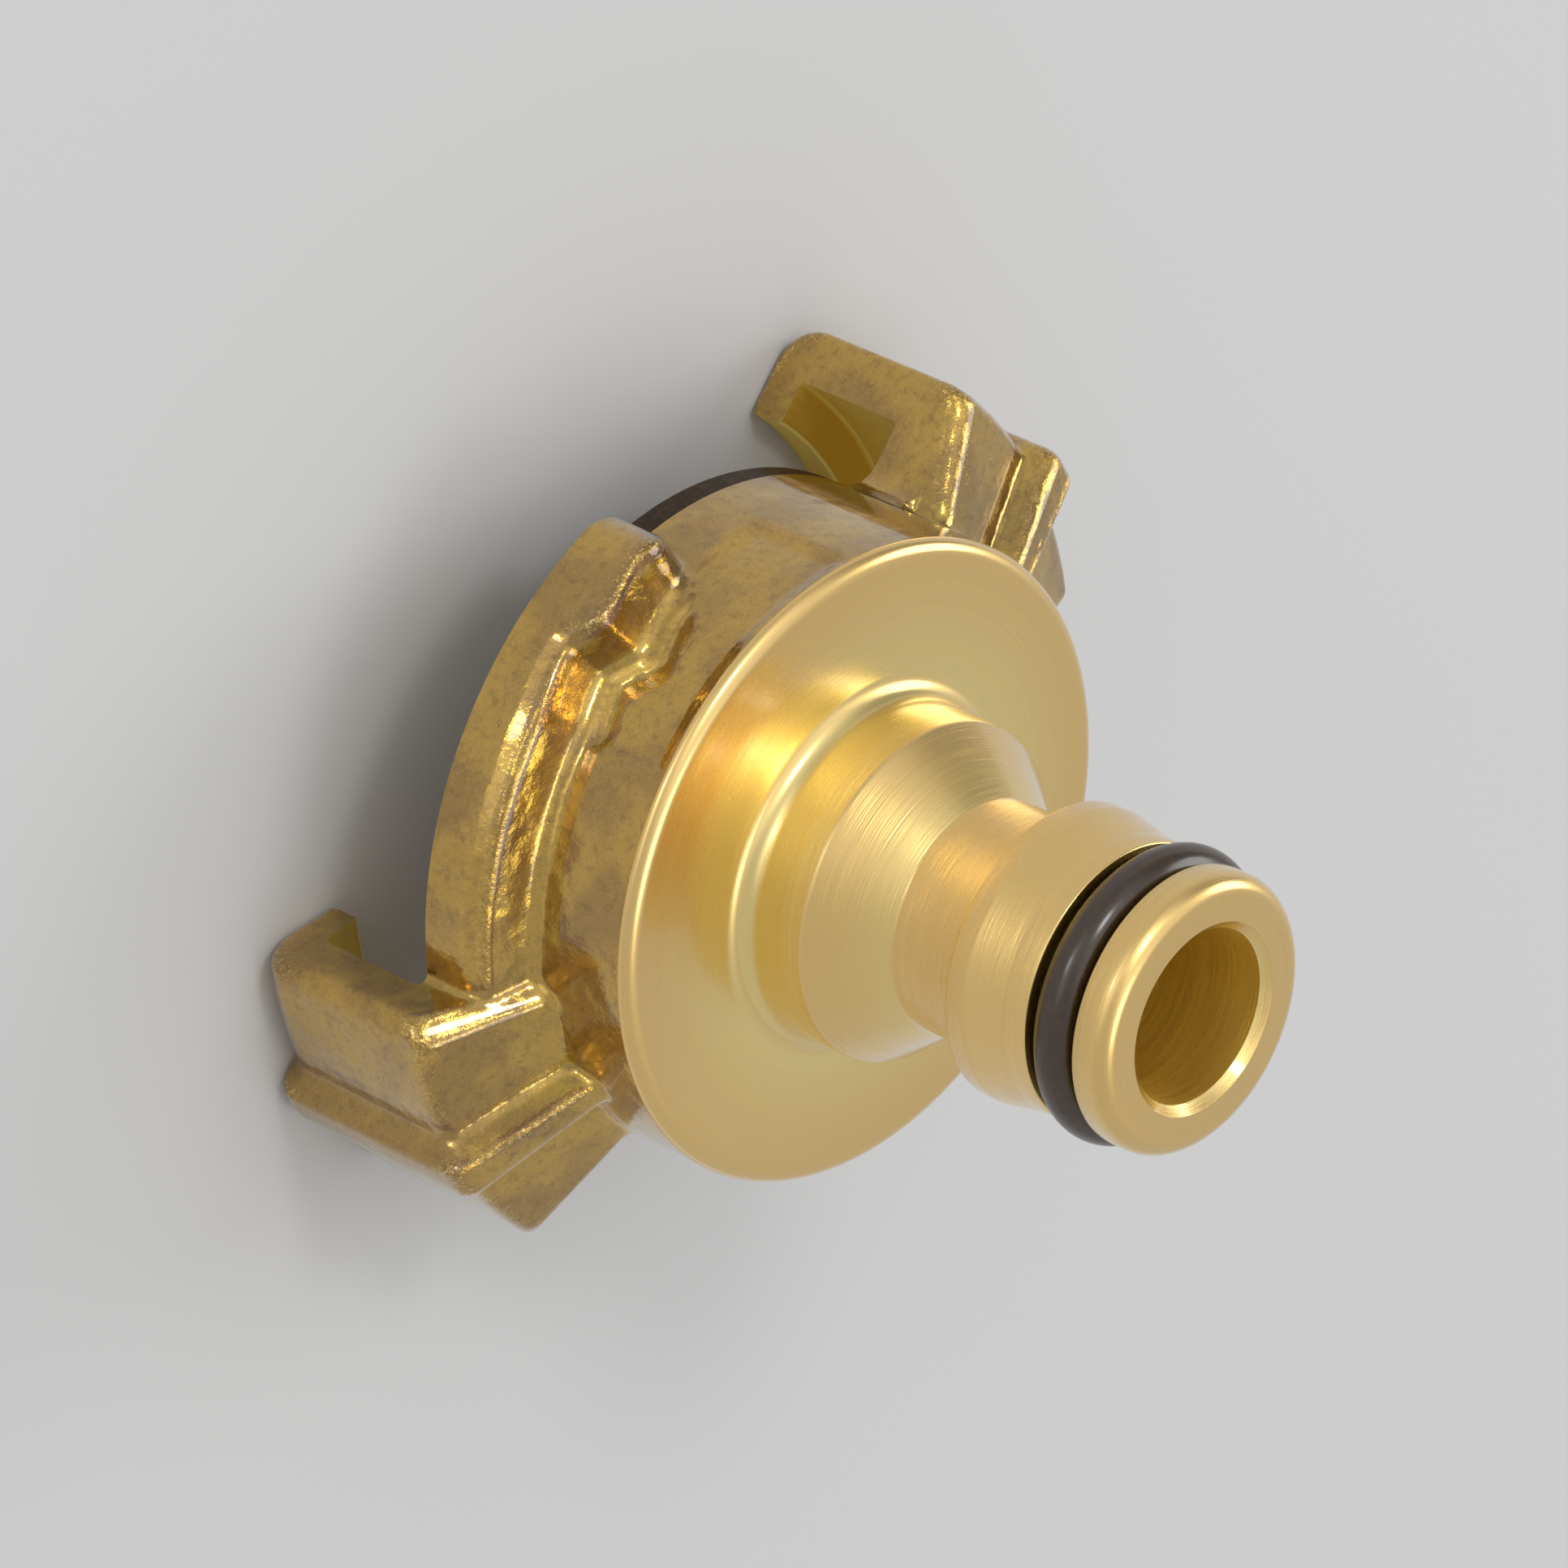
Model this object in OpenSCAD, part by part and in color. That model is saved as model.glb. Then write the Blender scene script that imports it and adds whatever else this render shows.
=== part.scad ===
// Claw coupling in brass: two bayonet claws, two ramp flanges and a form seal at the
// front, and a plug nose with an O-ring at the back.
// It stands on the fronts of its claws, with the plug nose pointing up and the claws
// on the X axis. All lengths are in millimetres and all angles in degrees.

/* [Claws] */
// Distance between the lips of the two claws
claw_gap_d = 40.7; // [38:0.1:42]
// Depth of the groove behind a claw's lip
lip_w = 2.6; // [1.8:0.1:3.2]
// Wall of a claw outside its groove
claw_wall = 3.15; // [2.6:0.05:4]
// Thickness of the lip at the front of a claw
lip_t = 2.5; // [1.5:0.1:4]
// Width of the groove between lip and flange plane
groove_w = 7.25; // [6:0.05:9]
// Angle that each claw spans
claw_arc = 43.5; // [38:0.5:48]
// Wall between groove and shoulder, at the rim of a claw
shoulder_t = 3.05; // [2:0.05:4]
// Slope of the back of a claw
shoulder_slope = 20; // [10:1:30]
// Radius of the outer front edge of a claw
claw_front_r = 2.4; // [0.5:0.1:3]
// Radius of the shoulder edge of a claw
shoulder_r = 1.2; // [0.4:0.1:2]
// Radius at the locking end of a claw
claw_end_r = 1; // [0.3:0.1:1.6]
// Radius at the free end of a claw, along rim and lip
free_end_r = 0.5; // [0.2:0.1:1]
// Radius at the free end of a claw, along its shoulder
free_back_r = 1.6; // [0.6:0.1:2]
// Radius of the fillet between the free end of a claw and the body
end_fillet_r = 1.8; // [0.6:0.1:2.4]
// Width of the chamfer at the locking end of a claw
claw_chamfer = 1.2; // [0.4:0.1:2]
// Angle that the raised belt around a claw spans
belt_arc = 9; // [6:0.5:14]
// Height of the raised belt
belt_h = 1.3; // [0.4:0.1:2]
// Share of the belt's first half over which it rises
belt_rise_share = 0.6; // [0.4:0.05:1]
// Radius of the belt's outer front edge
belt_front_r = 1.4; // [0.4:0.1:2]

/* [Ramp flanges] */
// How far a ramp flange stands out from the body
flange_w = 3.6; // [2.4:0.05:4]
// Thickness of a flange at its rim
flange_t = 3.95; // [3:0.05:5]
// Slope of the back of a flange
flange_slope = 12; // [4:1:20]
// Angle from the claw to the toe of a flange
flange_arc = 79; // [76:0.5:86]
// Length of the rounded toe, as an angle
toe_arc = 9; // [7:0.5:12]
// Fall of the back over the rounded toe
toe_fall = 1.9; // [0.4:0.1:2.4]
// Height of the step that stops a mating claw
stop_h = 1.3; // [0.6:0.1:1.6]
// Angle from the claw to the middle of that step
stop_at = 57; // [50:0.5:60]
// Angle over which the step rises
stop_arc = 6.5; // [4:0.5:8]
// Fall of the ramp in front of the step
ramp_fall = 0.5; // [0.1:0.1:0.8]
// Angle over which the ramp falls
ramp_fall_arc = 11.5; // [6:0.5:20]
// Fall of the back from the step to the toe
crest_fall = 0.65; // [0.1:0.05:1]
// Chamfer along the rim, beside the ramp
rim_chamfer = 1.3; // [0.4:0.1:1.6]
// Chamfer along the rim, between step and toe
toe_chamfer = 0.4; // [0.2:0.1:1]
// Radius of the edge between a flange's rim and its chamfer
rim_edge_r = 1.2; // [0.2:0.1:2]

/* [Body] */
// Diameter of the body and its turned face
body_d = 37.1; // [36:0.1:39]
// Length of the body from flange plane to turned face
body_l = 11.55; // [10:0.05:16]
// Width of the bevel around the turned face
face_bevel_w = 1; // [0.3:0.1:1.6]
// Height of that bevel
face_bevel_h = 0.7; // [0.2:0.1:1.2]
// Radius of the fillets where claws and flanges grow from the body
root_r = 1; // [0.4:0.1:1.6]
// Angle of the sunk field in the side of the body
field_arc = 50; // [30:1:52]
// Angle from the free end of a claw to the sunk field
field_at = 42.5; // [38:0.5:46]
// Height of the sunk field
field_h = 6; // [3:0.05:7.4]
// Depth of the sunk field
field_depth = 0.35; // [0.1:0.05:0.6]
// Rim left between the sunk field and the bevel of the face
field_margin = 0.2; // [0.1:0.1:1]

/* [Plug nose] */
// Radius of the fillet between turned face and neck
neck_fillet_r = 2; // [1:0.1:3]
// Diameter of the foot of the neck
foot_d = 19.6; // [18:0.1:24]
// Height of the foot above the turned face
foot_l = 4.4; // [3:0.1:8]
// Height of the cone above the foot
cone_l = 3.75; // [2:0.05:8]
// Diameter of the neck
neck_d = 13.4; // [12.4:0.1:15]
// Length of the neck
neck_l = 4.35; // [3:0.05:8]
// Height of the slope under the collar
collar_slope_l = 1.2; // [0.6:0.1:3]
// Diameter of the collar
collar_d = 17; // [16.4:0.1:19]
// Length of the collar
collar_l = 1.2; // [0.8:0.1:6]
// Length of the taper from collar to nose
taper_l = 2.4; // [0.5:0.1:4]
// Diameter of the plug nose
nose_d = 16; // [15.4:0.1:16.3]
// Length of the land between taper and O-ring groove
land_l = 1.65; // [1:0.05:4]
// Length of the nose in front of the O-ring groove
tip_l = 2.25; // [1.6:0.05:5]
// Radius of the nose's outer edge
tip_r = 1.1; // [0.4:0.1:1.4]

/* [O-ring] */
// Thickness of the O-ring's cord
cord_d = 2.6; // [2.2:0.05:2.8]
// Inner diameter of the O-ring, and diameter of the floor of its groove
ring_floor_d = 11.8; // [11.6:0.1:12.2]
// Room along the axis beside the O-ring in its groove
ring_room = 0.7; // [0.3:0.05:1.2]

/* [Water way] */
// Diameter of the water bore
bore_d = 10; // [6:0.1:10.2]
// Chamfer at the mouth of the bore
bore_chamfer = 0.5; // [0.1:0.1:0.8]
// Depth of the seal's pocket
pocket_h = 6; // [4:0.1:7]
// Wall around the throat of the pocket
pocket_wall = 1.95; // [1.6:0.05:3]
// Depth of the undercut that holds the seal
undercut = 0.7; // [0.3:0.05:0.9]
// Height of the undercut
undercut_h = 2.6; // [1.5:0.1:3.2]
// Height of the bowl that leads from the pocket to the bore
bowl_h = 2.5; // [1:0.1:3.5]
// Step between the opening of the seal and the mouth of the bowl
bowl_step = 0.5; // [0.2:0.1:1]

/* [Seal] */
// Diameter of the seal's face
seal_face_d = 37; // [35:0.1:38]
// Height of the seal's face above the flange plane
seal_face_h = 1.85; // [0.8:0.05:2.2]
// Radius of the face's outer edge
seal_edge_r = 0.5; // [0.2:0.1:0.8]
// Opening of the seal
seal_hole_d = 20; // [16:0.1:24]
// Clearance between rubber and brass
seal_gap = 0.05; // [0.02:0.01:0.2]

/* [Hidden] */

through = 1;          // how far a cutter runs past the face that it opens
min_fillet = 0.1;     // smallest fillet, where the toe runs out into the body
fillet_sink = 0.06;   // a fillet ends this deep under the body's side
claw_overlap = 4;     // a flange starts this angle inside its claw
end_crown = 0.4;      // angle by which the ends of claws and flanges are crowned
bevel_share = 0.7;    // height of the chamfer at the locking end, for its width
chamfer_lean = 0.45;  // width of the rim's chamfer, for its height
two_fold = [0, 180];  // claws and flanges repeat at half a turn
turned_from = 50;     // turned shapes start here, between a claw and the next toe

z_flange = lip_t + groove_w;             // flange plane, the front of the body
z_front = z_flange - through;            // front of the body before the plane is turned
z_face = z_flange + body_l;              // turned face
z_shoulder = z_flange + shoulder_t;      // rim of a claw's shoulder
z_foot = z_face + foot_l;
z_cone = z_foot + cone_l;
z_neck = z_cone + neck_l;
z_collar = z_neck + collar_slope_l;
z_collar_end = z_collar + collar_l;
z_land = z_collar_end + taper_l;
z_ring = z_land + land_l;
ring_groove_w = cord_d + ring_room;
z_ring_end = z_ring + ring_groove_w;
z_end = z_ring_end + tip_l;

body_r = body_d / 2;
root_depth = 1.5;                        // forged shapes start this deep in the body
core_r = body_r - root_depth;
groove_r = claw_gap_d / 2 + lip_w;       // wall of the groove
claw_r = groove_r + claw_wall;           // outside of the claws
claw_end = claw_arc / 2;                 // half of a claw, from the X axis
mid_r = (claw_r + groove_r) / 2;         // middle of a claw's wall
flange_r = body_r + flange_w;
stop_from = stop_at - stop_arc / 2;
stop_to = stop_at + stop_arc / 2;
toe_from = flange_arc - toe_arc;
pocket_d = body_d - 2 * pocket_wall;
undercut_d = pocket_d + 2 * undercut;

function arc(c, r, a, b, n) =
    [for (i = [0:n]) let (t = a + (b - a) * i / n) c + r * [cos(t), sin(t)]];
function smooth(t) = let (u = min(1, max(0, t))) u * u * (3 - 2 * u);
function degrees_along(length, radius) = length / radius * 180 / PI;
// Inset of a rounded end at the distance d from the end
function round_inset(r, d) = d >= r ? 0 : r - sqrt(r * r - (r - d) * (r - d));

// A section that rises from the body: rim_r is its outer radius, rim_z the height of
// its sloped back at the rim, front_z its front. It starts at the inner front corner.
function forged_section(rim_r, rim_z, front_z, slope, back_r, front_r) =
    let (
        back_c = [rim_r - back_r, rim_z - back_r * (1 - sin(slope)) / cos(slope)],
        root_x = body_r + root_r - fillet_sink,
        root_z = rim_z + (root_r - (root_x - rim_r) * sin(slope)) / cos(slope)
    )
    concat(
        [[core_r, front_z]],
        arc([rim_r - front_r, front_z + front_r], front_r, -90, 0, 6),
        arc(back_c, back_r, 0, 90 - slope, 4),
        arc([root_x, root_z], root_r, 270 - slope, 180, 4),
        [[core_r, root_z]]
    );

// A point well inside a section, seen by all its corners
function inner_point(section) = (section[0] + 2 * section[4]) / 3;

// Joins sections, each [angle, points], into one closed solid around the Z axis
module swept(stations) {
    n = len(stations[0][1]);
    last = len(stations) - 1;
    points = [for (s = stations, p = s[1]) [p.x * cos(s[0]), p.x * sin(s[0]), p.y]];
    sides = [for (j = [0:last - 1], i = [0:n - 1])
        let (a = j * n + i, b = j * n + (i + 1) % n)
        each [[a, b, b + n], [a, b + n, a + n]]];
    // Each end is a blunt cone around a tip, so that no two of its faces share a plane
    tip = len(points);
    tips = [for (e = [[stations[0], -end_crown], [stations[last], end_crown]])
        let (p = inner_point(e[0][1]), a = e[0][0] + e[1])
        [p.x * cos(a), p.x * sin(a), p.y]];
    caps = [for (i = [0:n - 1]) let (b = (i + 1) % n)
        each [[i, tip, b], [last * n + i, last * n + b, tip + 1]]];
    polyhedron(points = concat(points, tips), faces = concat(sides, caps), convexity = 6);
}

// Height of the belt at the share t of its half width: a slope, a broad crown and a steep edge
function belt_rise(t) = abs(t) >= 1 ? 0
    : t < 0 ? smooth((1 + t) / belt_rise_share)
    : sqrt(1 - pow(t, 4));

function claw_station(angle) =
    let (
        to_lock = (angle + claw_end) * PI / 180 * mid_r,
        to_free = (claw_end - angle) * PI / 180 * mid_r,
        inset = max(round_inset(claw_end_r, to_lock), round_inset(free_end_r, to_free)),
        bevel = max(0, claw_chamfer - to_lock) * bevel_share,
        back = max(inset, bevel, round_inset(free_back_r, to_free)),
        rise = belt_h * belt_rise(angle / (belt_arc / 2)),
        front_r = claw_front_r + (belt_front_r - claw_front_r) * rise / belt_h
    )
    [angle, forged_section(
        claw_r - inset + rise, z_shoulder - back + rise,
        inset, shoulder_slope, shoulder_r, front_r)];

// Angles of a claw's sections: close together at the ends and over the belt
function claw_angles() =
    let (
        lock_step = degrees_along(max(claw_end_r, claw_chamfer), mid_r),
        free_step = degrees_along(max(free_end_r, free_back_r), mid_r),
        near_end = [0, 0.12, 0.3, 0.6, 1],
        rising = [for (i = [0:5]) i * belt_rise_share / 5 - 1],
        crown = [0.4, 0.65, 0.82, 0.93, 1]
    )
    concat(
        [for (t = near_end) -claw_end + t * lock_step],
        [for (t = concat(rising, crown)) t * belt_arc / 2],
        [for (i = [4:-1:0]) claw_end - near_end[i] * free_step]
    );

module claw_blank() {
    swept([for (a = claw_angles()) claw_station(a)]);
}

// Fillet between the free end of a claw and the body
module end_fillet() {
    start = end_fillet_r / body_r * 180 / PI;
    top = z_shoulder + (claw_r - body_r - end_fillet_r) * tan(shoulder_slope) - free_back_r;
    rotate([0, 0, claw_end])
        translate([0, 0, z_front])
            linear_extrude(top - z_front)
                difference() {
                    polygon([
                        [core_r, -end_fillet_r], [body_r + end_fillet_r, -end_fillet_r],
                        [body_r + end_fillet_r, 0],
                        (body_r - fillet_sink) * [cos(start), sin(start)],
                        core_r * [cos(start), sin(start)]
                    ]);
                    translate([body_r + end_fillet_r, end_fillet_r])
                        circle(r = end_fillet_r, $fn = 40);
                }
}

// Rise of a flange's back over its plain stretch, at the angle a from the claw
function ramp_rise(a) =
    a < stop_from ? -ramp_fall * smooth((a - stop_from + ramp_fall_arc) / ramp_fall_arc)
    : a < stop_to ? -ramp_fall + stop_h * smooth((a - stop_from) / stop_arc)
    : stop_h - ramp_fall - crest_fall * smooth((a - stop_to) / (toe_from - stop_to));

function flange_station(a) =
    let (
        toe = max(0, (a - toe_from) / toe_arc),
        shrink = 1 - sqrt(max(0, 1 - toe * toe)),
        edge = rim_chamfer + (toe_chamfer - rim_chamfer) * smooth((a - stop_from) / stop_arc),
        rim_r = flange_r - flange_w * shrink,
        rim_z = z_flange + flange_t + ramp_rise(a) - toe_fall * shrink,
        lean = atan(chamfer_lean * (1 - shrink)),
        edge_c = [rim_r - rim_edge_r, rim_z - edge - rim_edge_r * tan(lean / 2)]
    )
    [-a, concat(
        [[core_r, z_front], [rim_r, z_front]],
        arc(edge_c, rim_edge_r, 0, lean, 3),
        [[rim_r - edge * tan(lean), rim_z]],
        flange_root(rim_r, rim_z)
    )];

// The sloped back of a flange and its fillet up to the body
function flange_root(rim_r, rim_z) =
    let (
        slope = flange_slope,
        fillet = min(root_r, max(min_fillet, (rim_r - body_r) / 2)),
        root_x = body_r + fillet - fillet_sink,
        root_z = rim_z + (fillet - (root_x - rim_r) * sin(slope)) / cos(slope)
    )
    concat(arc([root_x, root_z], fillet, 270 - slope, 180, 4), [[core_r, root_z]]);

function flange_angles() =
    let (fall_from = stop_from - ramp_fall_arc)
    concat(
        [for (i = [0:9]) -claw_overlap + (fall_from + claw_overlap) * i / 9],
        [for (t = [0.25:0.25:0.75]) fall_from + ramp_fall_arc * t],
        [for (t = [0:1 / 6:1]) stop_from + stop_arc * t],
        [for (t = [1 / 3, 2 / 3]) stop_to + (toe_from - stop_to) * t],
        [for (t = [0, 0.25, 0.45, 0.65, 0.8, 0.9, 0.96, 0.99]) toe_from + toe_arc * t]
    );

module flange_blank() {
    angles = flange_angles();
    last = len(angles) - 1;
    rotate([0, 0, -claw_end])
        swept([for (i = [last:-1:0]) flange_station(angles[i])]);
}

// The turned edge of the face, from the body's side to the face
function face_edge() =
    [for (t = [0:30:90])
        [body_r - face_bevel_w * (1 - cos(t)), z_face - face_bevel_h * (1 - sin(t))]];

module turned_body() {
    rotate([0, 0, turned_from])
        rotate_extrude($fn = 128)
            polygon(concat(
                [[0, z_front], [body_r, z_front]],
                face_edge(),
                arc([foot_d / 2 + neck_fillet_r, z_face + neck_fillet_r], neck_fillet_r, 270, 180, 8),
                [[foot_d / 2, z_foot], [neck_d / 2, z_cone], [neck_d / 2, z_neck]],
                [[collar_d / 2, z_collar], [collar_d / 2, z_collar_end]],
                [[nose_d / 2, z_land], [nose_d / 2, z_ring]],
                [[ring_floor_d / 2, z_ring], [ring_floor_d / 2, z_ring_end]],
                [[nose_d / 2, z_ring_end]],
                arc([nose_d / 2 - tip_r, z_end - tip_r], tip_r, 0, 90, 6),
                [[0, z_end]]
            ));
}

// All that is turned out of the forging: the space between the claws, the groove under
// their lips, the seal's pocket with its undercut, the bowl and the bore
module turned_inside() {
    z_pocket = z_flange + pocket_h;
    rotate([0, 0, turned_from])
        rotate_extrude($fn = 128)
            polygon([
                [0, -through], [claw_gap_d / 2, -through], [claw_gap_d / 2, lip_t],
                [groove_r, lip_t], [groove_r, z_flange],
                [pocket_d / 2, z_flange], [pocket_d / 2, z_pocket - undercut_h],
                [undercut_d / 2, z_pocket - undercut_h], [undercut_d / 2, z_pocket],
                [seal_hole_d / 2 + bowl_step, z_pocket], [bore_d / 2, z_pocket + bowl_h],
                [bore_d / 2, z_end - bore_chamfer],
                [bore_d / 2 + bore_chamfer + through, z_end + through], [0, z_end + through]
            ]);
}

// Shallow field in the side of the body, between a claw and the next flange
module sunk_field() {
    rotate([0, 0, claw_end + field_at])
        rotate_extrude(angle = field_arc, $fn = 128)
            translate([body_r - field_depth, z_face - face_bevel_h - field_margin - field_h])
                square([field_depth + through, field_h]);
}

module coupling_body() {
    color("goldenrod")
        difference() {
            union() {
                difference() {
                    turned_body();
                    for (turn = two_fold)
                        rotate([0, 0, turn])
                            sunk_field();
                }
                for (turn = two_fold)
                    rotate([0, 0, turn]) {
                        claw_blank();
                        end_fillet();
                        flange_blank();
                    }
            }
            turned_inside();
        }
}

module form_seal() {
    neck_r = pocket_d / 2 - seal_gap;
    bead_r = undercut_d / 2 - seal_gap;
    face_r = seal_face_d / 2;
    z_top = z_flange + pocket_h - seal_gap;
    z_bead = z_flange + pocket_h - undercut_h + seal_gap;
    z_front = z_flange - seal_face_h;
    hole_r = seal_hole_d / 2;
    color("#2b2725")
        rotate_extrude($fn = 96)
            polygon(concat(
                [[hole_r, z_front + seal_edge_r]],
                arc([hole_r + seal_edge_r, z_front + seal_edge_r], seal_edge_r, 180, 270, 4),
                arc([face_r - seal_edge_r, z_front + seal_edge_r], seal_edge_r, 270, 360, 5),
                [[face_r, z_flange - seal_gap], [neck_r, z_flange - seal_gap]],
                [[neck_r, z_bead], [bead_r, z_bead], [bead_r, z_top], [hole_r, z_top]]
            ));
}

module nose_o_ring() {
    color("#2a2422")
        translate([0, 0, (z_ring + z_ring_end) / 2])
            rotate_extrude($fn = 96)
                translate([ring_floor_d / 2 + cord_d / 2, 0])
                    circle(d = cord_d, $fn = 32);
}

coupling_body();
form_seal();
nose_o_ring();
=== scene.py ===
"""Claw coupling in brass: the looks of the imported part, in metres and in its frame.

The body is made as the real one is: a forged blank is built from sections around the
axis, its shapes are fused and softened, and then turned profiles cut it and close it.
Sizes are in millimetres until a mesh is made.
"""
import math

import bmesh
import bpy
import numpy as np
from mathutils import Matrix, Vector
from mathutils.bvhtree import BVHTree


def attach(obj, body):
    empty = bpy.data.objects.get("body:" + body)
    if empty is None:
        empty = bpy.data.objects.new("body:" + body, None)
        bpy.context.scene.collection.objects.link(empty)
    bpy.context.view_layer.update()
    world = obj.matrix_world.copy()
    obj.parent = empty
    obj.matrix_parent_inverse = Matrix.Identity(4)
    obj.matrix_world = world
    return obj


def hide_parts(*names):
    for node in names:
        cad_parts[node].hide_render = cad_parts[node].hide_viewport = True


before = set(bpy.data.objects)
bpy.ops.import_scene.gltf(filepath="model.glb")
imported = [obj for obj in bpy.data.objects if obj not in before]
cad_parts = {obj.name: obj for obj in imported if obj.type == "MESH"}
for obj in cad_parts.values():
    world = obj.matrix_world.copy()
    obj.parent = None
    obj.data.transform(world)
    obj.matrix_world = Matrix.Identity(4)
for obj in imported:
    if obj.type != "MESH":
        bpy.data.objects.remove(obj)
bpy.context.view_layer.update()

MM = 0.001
PER_M = 1000.0  # millimetres in a metre

# Claws; angles are in degrees
GAP_R = 20.35  # axis to the inside of a lip
LIP_W = 2.6  # depth of the groove behind a lip
CLAW_WALL = 3.15  # wall outside the groove
LIP_T = 2.5  # thickness of a lip
GROOVE_W = 7.25  # lip to flange plane
CLAW_ARC = 43.5  # angle that a claw spans
SHOULDER_T = 3.05  # wall between groove and shoulder, at the rim
SHOULDER_SLOPE = 20
SHOULDER_R = 1.2
CLAW_FRONT_R = 2.4
CLAW_END_R = 1.0  # at the locking end
FREE_END_R = 0.5  # at the free end, along rim and lip
FREE_BACK_R = 1.6  # at the free end, along the shoulder
END_FILLET_R = 1.8  # between the free end and the barrel
CLAW_CHAMFER = 1.2  # at the locking end
BEVEL_SHARE = 0.7  # fall of that chamfer for each millimetre of its width
BELT_ARC = 9  # angle that the raised belt spans
BELT_H = 1.3
BELT_FRONT_R = 1.4
BELT_RISE_SHARE = 0.6  # share of the belt's first half over which it rises

# Ramp flanges
FLANGE_W = 3.6  # how far they stand out from the barrel
FLANGE_T = 3.95  # thickness at the rim
FLANGE_SLOPE = 12
FLANGE_ARC = 79  # claw to toe
TOE_ARC = 9
TOE_FALL = 1.9
STOP_H = 1.3
STOP_AT = 57  # claw to the middle of the stop's step
STOP_ARC = 6.5
RAMP_FALL = 0.5
RAMP_FALL_ARC = 11.5
CREST_FALL = 0.65  # stop to toe
RIM_CHAMFER = 1.3  # beside the ramp
TOE_CHAMFER = 0.4  # between stop and toe
CHAMFER_LEAN = 0.45  # its width for each millimetre of its height
RIM_EDGE_R = 1.2  # between rim and chamfer
CREST_R = 0.7  # between chamfer and back
CREST_SHARE = 0.8  # share of a low chamfer that this rounding may take
CLAW_OVERLAP = 4  # angle that a flange runs on inside its claw

# Body
BODY_R = 18.55
BODY_L = 11.55  # flange plane to face
FACE_BEVEL_W = 1.0
FACE_BEVEL_H = 0.7
ROOT_R = 1.0  # fillet where claws and flanges leave the barrel
FILLET_SINK = 0.06  # how far that fillet ends inside the barrel
MIN_FILLET = 0.1
ROOT_DEPTH = 1.5  # how far claws and flanges reach into the barrel
FIELD_ARC = 50  # angle that a sunk field spans
FIELD_AT = 42.5  # end of the claw to the start of the field
FIELD_H = 6
FIELD_DEPTH = 0.35
FIELD_MARGIN = 0.5  # below the bevel of the face
FIELD_SLOPE = 1.1  # width of its soft edge

# Plug nose, from its foot to its tip
NECK_FILLET_R = 1.3
FOOT_R = 9.8
FOOT_L = 4.4
CONE_L = 3.75
NECK_R = 6.7
NECK_L = 4.35
COLLAR_SLOPE_L = 1.2
COLLAR_R = 8.5
COLLAR_L = 1.2
TAPER_L = 2.4
NOSE_R = 8.0
LAND_L = 1.65
CORD_D = 2.6
RING_FLOOR_R = 5.9
RING_ROOM = 0.7  # width of the ring's groove beyond its cord
TIP_L = 2.25
TIP_R = 1.1
# Edge radii: foot, cone, neck, collar slope, collar, taper, land, both floor corners, tip land
NOSE_EDGES = (0.4, 0.25, 0.3, 0.2, 0.2, 0.2, 0.12, 0.15, 0.15, 0.12)

# Water way, pocket of the seal and insides of the claws
BORE_R = 5.0
BORE_CHAMFER = 0.5
POCKET_H = 6.0
POCKET_WALL = 1.95
UNDERCUT = 0.7
UNDERCUT_H = 2.6
BOWL_H = 2.5
BOWL_STEP = 0.5
SEAL_HOLE_R = 10.0
LIP_LEAD = 0.25  # lead-in at the front of a lip
LIP_EDGE = 0.15  # chamfer at the back of a lip
POCKET_EDGE = 0.2  # chamfer at the mouth of the pocket
GROOVE_FILLET_R = 0.3

# Fineness of the meshes
SEGMENTS = 256  # round a turned piece
BARREL_SEGMENTS = 720
BARREL_LEVELS = 90
SEAM_AT = 50  # angle at which the mesh of a turned piece starts
END_CROWN = 0.05  # angle by which the ends of a swept solid are crowned
CLAW_CROWDING = 1.7  # how closely the sections crowd at the ends of a claw
TOE_END = 1.43  # radians of the toe's quarter circle, just short of the barrel
VOXEL = 0.2
SOFTENING = 0.5
SOFTENING_PASSES = 4
KEPT_SHARE = 0.44  # share of the faces that stays after the fusing
SHARP_ANGLE = 32

# Overlaps of shapes that are fused or cut
OVERLAP = 1  # past a plane that is cut later
BARREL_OVERLAP = 1.5  # barrel past the face
CUTTER_H = 5
CUTTER_MARGIN = 4
NOSE_INSET = 0.03  # the bevel of the face starts this far inside the barrel
NOSE_SINK = 0.02
NOSE_CORE = ((1.5, 2), (0.6, 0.1))  # inside the barrel and below the bevel, for each corner

# Wear and shelter, stored on the points for the finishes, which also paint shade on rounded edges
# and a reflection tint in sheltered places
SHORTEST_EDGE = 0.05
WEAR_PASSES = 7
WEAR_FROM = 220  # bend per metre where wear starts
WEAR_SPAN = 500  # bend beyond it at which wear is full
SHELTER_RAYS = 14
SHELTER_REACH = 9
SHELTER_LIFT = 0.05

# Colours
BRASS = (0.83, 0.555, 0.155, 1)
BRASS_PALE = (0.88, 0.595, 0.195, 1)
# Yellower brass for sheltered turned places: a painted reflection
BRASS_REFLECTION_TINT = (0.93, 0.715, 0.25, 1)
# Bored brass, paler than turned brass: painted light in the shaded bore and groove
BORE_BRASS_LIGHTENED = (0.98, 0.76, 0.2, 1)
BORE_BANDS_LIGHTENED = (0.96, 0.73, 0.16, 1)
SKIN_BRASS = (0.615, 0.36, 0.055, 1)
# Olive skin for broad patches, and in sheltered places a painted reflection
SKIN_OLIVE = (0.575, 0.365, 0.03, 1)
# Dark skin of patches, mottling and pits, also used as painted shade on rounded edges
SKIN_DARK = (0.19, 0.105, 0.02, 1)
SEAL_RUBBER = (0.032, 0.018, 0.009, 1)
SEAL_DUST = (0.075, 0.046, 0.022, 1)
RING_RUBBER = (0.032, 0.016, 0.006, 1)
RING_DUST = (0.065, 0.033, 0.012, 1)
FLOOR_GREY = (0.65, 0.65, 0.65, 1)

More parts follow.
